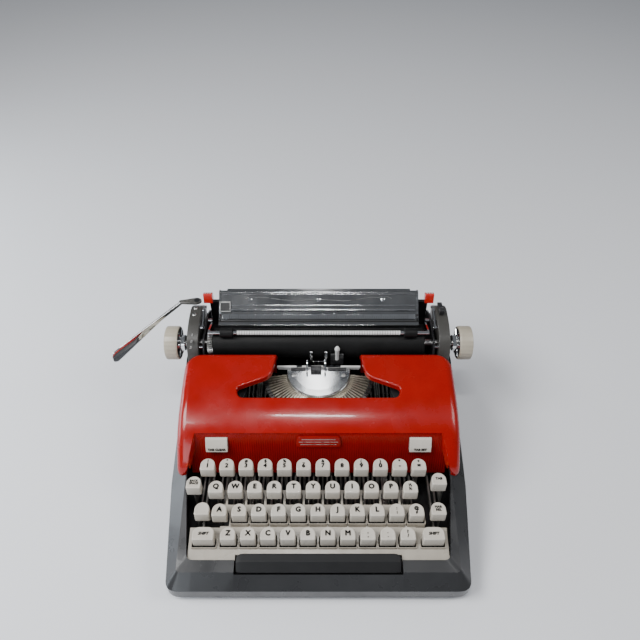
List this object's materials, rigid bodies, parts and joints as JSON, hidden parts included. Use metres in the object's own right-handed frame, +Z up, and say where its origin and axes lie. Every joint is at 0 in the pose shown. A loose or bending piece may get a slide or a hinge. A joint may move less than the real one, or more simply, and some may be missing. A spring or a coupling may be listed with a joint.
{
  "type": "portable manual typewriter",
  "caption": "Portable manual typewriter: sloped keyboard in a pan-shaped frame, hooded top cover with a type-basket opening, sliding carriage with platen, knobs, paper bail and return lever.",
  "frame": {"origin": "bottom centre of the bounding box, on the plane the feet stand on", "axes": "+X to the typist's right along the carriage, +Y away from the typist, +Z up"},
  "size_m": [0.3826, 0.2934, 0.142],
  "materials": {
    "cover_red": "gloss",
    "panel_red": "gloss",
    "frame_grey": "satin",
    "plate_grey": "satin",
    "key_cream": "satin",
    "guard_cream": "satin",
    "bar_grey": "satin",
    "knob_cream": "satin",
    "tab_red": "gloss",
    "black_metal": "satin",
    "steel": "satin",
    "chrome": "polished",
    "black_rubber": "matte",
    "black_plastic": "matte"
  },
  "bodies": {
    "frame": {"base_plate": "black_metal", "foot_front_left": "black_rubber", "foot_front_right": "black_rubber", "foot_rear_left": "black_rubber", "foot_rear_right": "black_rubber", "lower_frame": "frame_grey", "key_guard": "guard_cream", "key_fulcrum_shaft": "steel", "top_cover": "cover_red", "ribbed_panel": "panel_red", "badge_plate": "panel_red", "ribbon_bracket_left": "steel", "ribbon_bracket_right": "steel", "carriage_rail": "steel"},
    "number_row": {"number_row_keys": "key_cream"},
    "upper_row": {"upper_row_keys": "key_cream"},
    "lower_row": {"lower_row_keys": "key_cream"},
    "backspace": {"backspace_key": "key_cream"},
    "shift_lock": {"shift_lock_key": "key_cream"},
    "tab": {"tab_key": "key_cream"},
    "margin_release": {"margin_release_key": "key_cream"},
    "shift": {"shift_keys": "key_cream"},
    "space": {"space_bar": "bar_grey"},
    "tab_clear": {"tab_clear_button": "key_cream"},
    "tab_set": {"tab_set_button": "key_cream"},
    "type_basket": {"segment": "chrome", "typebars": "steel"},
    "vibrator": {"ribbon_vibrator": "chrome"},
    "spool_left": {"ribbon_spool_left": "black_plastic"},
    "spool_right": {"ribbon_spool_right": "black_plastic"},
    "drum": {"mainspring_drum": "steel"},
    "carriage": {"carriage_bed": "black_metal", "end_plate_left": "plate_grey", "end_plate_right": "plate_grey", "paper_table": "chrome", "paper_scale": "chrome"},
    "platen": {"platen": "black_rubber", "platen_shaft": "steel", "platen_knob_left": "knob_cream", "platen_knob_right": "knob_cream", "line_space_ratchet": "steel"},
    "bail": {"paper_bail": "chrome"},
    "roller_left": {"bail_roller_left": "black_rubber"},
    "roller_right": {"bail_roller_right": "black_rubber"},
    "paper_support": {"paper_support": "chrome"},
    "return_lever": {"return_lever": "chrome"},
    "margin_left": {"margin_tab_left": "tab_red"},
    "margin_right": {"margin_tab_right": "tab_red"},
    "release": {"carriage_release": "black_plastic"},
    "key_a": {"key_a": "key_cream"},
    "key_s": {"key_s": "key_cream"},
    "key_d": {"key_d": "key_cream"},
    "key_f": {"key_f": "key_cream"},
    "key_g": {"key_g": "key_cream"},
    "key_h": {"key_h": "key_cream"},
    "key_j": {"key_j": "key_cream"},
    "key_k": {"key_k": "key_cream"},
    "key_l": {"key_l": "key_cream"},
    "key_semicolon": {"key_semicolon": "key_cream"},
    "key_cent": {"key_cent": "key_cream"}
  },
  "joints": [
    {"name": "carriage_slide", "type": "slide", "parent": "frame", "child": "carriage", "axis": [1, 0, 0], "range_m": [-0.1, 0.1]},
    {"name": "platen_spin", "type": "hinge", "parent": "carriage", "child": "platen", "pos_m": [0.02285, 0.09035, 0.108], "axis": [1, 0, 0], "continuous": true},
    {"name": "bail_swing", "type": "hinge", "parent": "carriage", "child": "bail", "pos_m": [0.02285, 0.11535, 0.118], "axis": [-1, 0, 0], "range_deg": [0, 50]},
    {"name": "bail_roller_left_spin", "type": "hinge", "parent": "bail", "child": "roller_left", "pos_m": [-0.07615, 0.08485, 0.1295], "axis": [1, 0, 0], "continuous": true},
    {"name": "bail_roller_right_spin", "type": "hinge", "parent": "bail", "child": "roller_right", "pos_m": [0.12185, 0.08485, 0.1295], "axis": [1, 0, 0], "continuous": true},
    {"name": "paper_support_lift", "type": "hinge", "parent": "carriage", "child": "paper_support", "pos_m": [0.02285, 0.14115, 0.137], "axis": [1, 0, 0], "range_deg": [0, 80]},
    {"name": "return_lever_swing", "type": "hinge", "parent": "carriage", "child": "return_lever", "pos_m": [-0.11315, 0.12835, 0.134], "axis": [0, 0, 1], "range_deg": [0, 25], "stiffness_Nm_per_rad": 0.3, "springref_deg": -17.19},
    {"name": "margin_tab_left_press", "type": "hinge", "parent": "carriage", "child": "margin_left", "pos_m": [-0.10165, 0.13435, 0.13], "axis": [1, 0, 0], "range_deg": [0, 12], "stiffness_Nm_per_rad": 0.05, "springref_deg": -5.73},
    {"name": "margin_tab_right_press", "type": "hinge", "parent": "carriage", "child": "margin_right", "pos_m": [0.14735, 0.13435, 0.13], "axis": [1, 0, 0], "range_deg": [0, 12], "stiffness_Nm_per_rad": 0.05, "springref_deg": -5.73},
    {"name": "carriage_release_lift", "type": "hinge", "parent": "carriage", "child": "release", "pos_m": [0.15785, 0.12535, 0.1345], "axis": [-1, 0, 0], "range_deg": [0, 12], "stiffness_Nm_per_rad": 0.05, "springref_deg": -5.73},
    {"name": "mainspring_drum_spin", "type": "hinge", "parent": "frame", "child": "drum", "pos_m": [-0.06315, 0.11935, 0.0504], "axis": [0, 1, 0], "range_deg": [-290, 290]},
    {"name": "shift_press", "type": "hinge", "parent": "frame", "child": "shift", "pos_m": [0.02285, 0.10035, 0.034], "axis": [1, 0, 0], "range_deg": [0, 2.25], "stiffness_Nm_per_rad": 1.5, "springref_deg": -2.86},
    {"name": "type_basket_drop", "type": "slide", "parent": "frame", "child": "type_basket", "axis": [0, 0, -1], "range_m": [0, 0.0065], "stiffness_N_per_m": 400, "springref_m": -0.006},
    {"name": "vibrator_lift", "type": "slide", "parent": "frame", "child": "vibrator", "axis": [0, 0, 1], "range_m": [0, 0.01]},
    {"name": "ribbon_spool_left_spin", "type": "hinge", "parent": "frame", "child": "spool_left", "pos_m": [-0.07715, 0.03435, 0.092], "axis": [0, 0, 1], "continuous": true},
    {"name": "ribbon_spool_right_spin", "type": "hinge", "parent": "frame", "child": "spool_right", "pos_m": [0.12285, 0.03435, 0.092], "axis": [0, 0, 1], "continuous": true},
    {"name": "number_row_press", "type": "hinge", "parent": "frame", "child": "number_row", "pos_m": [0.02285, 0.10035, 0.034], "axis": [1, 0, 0], "range_deg": [0, 4.58], "stiffness_Nm_per_rad": 4, "springref_deg": -3.44},
    {"name": "upper_row_press", "type": "hinge", "parent": "frame", "child": "upper_row", "pos_m": [0.02285, 0.10035, 0.034], "axis": [1, 0, 0], "range_deg": [0, 4.04], "stiffness_Nm_per_rad": 4, "springref_deg": -3.44},
    {"name": "key_a_press", "type": "hinge", "parent": "frame", "child": "key_a", "pos_m": [0.02285, 0.10035, 0.034], "axis": [1, 0, 0], "range_deg": [0, 3.62], "stiffness_Nm_per_rad": 0.6, "springref_deg": -3.44},
    {"name": "key_s_press", "type": "hinge", "parent": "frame", "child": "key_s", "pos_m": [0.02285, 0.10035, 0.034], "axis": [1, 0, 0], "range_deg": [0, 3.62], "stiffness_Nm_per_rad": 0.6, "springref_deg": -3.44},
    {"name": "key_d_press", "type": "hinge", "parent": "frame", "child": "key_d", "pos_m": [0.02285, 0.10035, 0.034], "axis": [1, 0, 0], "range_deg": [0, 3.62], "stiffness_Nm_per_rad": 0.6, "springref_deg": -3.44},
    {"name": "key_f_press", "type": "hinge", "parent": "frame", "child": "key_f", "pos_m": [0.02285, 0.10035, 0.034], "axis": [1, 0, 0], "range_deg": [0, 3.62], "stiffness_Nm_per_rad": 0.6, "springref_deg": -3.44},
    {"name": "key_g_press", "type": "hinge", "parent": "frame", "child": "key_g", "pos_m": [0.02285, 0.10035, 0.034], "axis": [1, 0, 0], "range_deg": [0, 3.62], "stiffness_Nm_per_rad": 0.6, "springref_deg": -3.44},
    {"name": "key_h_press", "type": "hinge", "parent": "frame", "child": "key_h", "pos_m": [0.02285, 0.10035, 0.034], "axis": [1, 0, 0], "range_deg": [0, 3.62], "stiffness_Nm_per_rad": 0.6, "springref_deg": -3.44},
    {"name": "key_j_press", "type": "hinge", "parent": "frame", "child": "key_j", "pos_m": [0.02285, 0.10035, 0.034], "axis": [1, 0, 0], "range_deg": [0, 3.62], "stiffness_Nm_per_rad": 0.6, "springref_deg": -3.44},
    {"name": "key_k_press", "type": "hinge", "parent": "frame", "child": "key_k", "pos_m": [0.02285, 0.10035, 0.034], "axis": [1, 0, 0], "range_deg": [0, 3.62], "stiffness_Nm_per_rad": 0.6, "springref_deg": -3.44},
    {"name": "key_l_press", "type": "hinge", "parent": "frame", "child": "key_l", "pos_m": [0.02285, 0.10035, 0.034], "axis": [1, 0, 0], "range_deg": [0, 3.62], "stiffness_Nm_per_rad": 0.6, "springref_deg": -3.44},
    {"name": "key_semicolon_press", "type": "hinge", "parent": "frame", "child": "key_semicolon", "pos_m": [0.02285, 0.10035, 0.034], "axis": [1, 0, 0], "range_deg": [0, 3.62], "stiffness_Nm_per_rad": 0.6, "springref_deg": -3.44},
    {"name": "key_cent_press", "type": "hinge", "parent": "frame", "child": "key_cent", "pos_m": [0.02285, 0.10035, 0.034], "axis": [1, 0, 0], "range_deg": [0, 3.62], "stiffness_Nm_per_rad": 0.6, "springref_deg": -3.44},
    {"name": "lower_row_press", "type": "hinge", "parent": "frame", "child": "lower_row", "pos_m": [0.02285, 0.10035, 0.034], "axis": [1, 0, 0], "range_deg": [0, 3.27], "stiffness_Nm_per_rad": 4, "springref_deg": -3.44},
    {"name": "space_bar_press", "type": "hinge", "parent": "frame", "child": "space", "pos_m": [0.02285, 0.10035, 0.034], "axis": [1, 0, 0], "range_deg": [0, 1.71], "stiffness_Nm_per_rad": 1.5, "springref_deg": -3.44},
    {"name": "backspace_press", "type": "hinge", "parent": "frame", "child": "backspace", "pos_m": [0.02285, 0.10035, 0.034], "axis": [1, 0, 0], "range_deg": [0, 3.45], "stiffness_Nm_per_rad": 0.6, "springref_deg": -3.44},
    {"name": "shift_lock_press", "type": "hinge", "parent": "frame", "child": "shift_lock", "pos_m": [0.02285, 0.10035, 0.034], "axis": [1, 0, 0], "range_deg": [0, 2.43], "stiffness_Nm_per_rad": 0.6, "springref_deg": -3.44},
    {"name": "tab_press", "type": "hinge", "parent": "frame", "child": "tab", "pos_m": [0.02285, 0.10035, 0.034], "axis": [1, 0, 0], "range_deg": [0, 3.52], "stiffness_Nm_per_rad": 0.6, "springref_deg": -3.44},
    {"name": "margin_release_press", "type": "hinge", "parent": "frame", "child": "margin_release", "pos_m": [0.02285, 0.10035, 0.034], "axis": [1, 0, 0], "range_deg": [0, 2.43], "stiffness_Nm_per_rad": 0.6, "springref_deg": -3.44},
    {"name": "tab_clear_press", "type": "slide", "parent": "frame", "child": "tab_clear", "axis": [0, 1, 0], "range_m": [0, 0.004], "stiffness_N_per_m": 300, "springref_m": -0.002},
    {"name": "tab_set_press", "type": "slide", "parent": "frame", "child": "tab_set", "axis": [0, 1, 0], "range_m": [0, 0.004], "stiffness_N_per_m": 300, "springref_m": -0.002}
  ],
  "couplings": [
    {"joint": "mainspring_drum_spin", "follows": "carriage_slide", "rad_per_m": 50},
    {"joint": "type_basket_drop", "follows": "shift_press", "m_per_rad": 0.165}
  ]
}
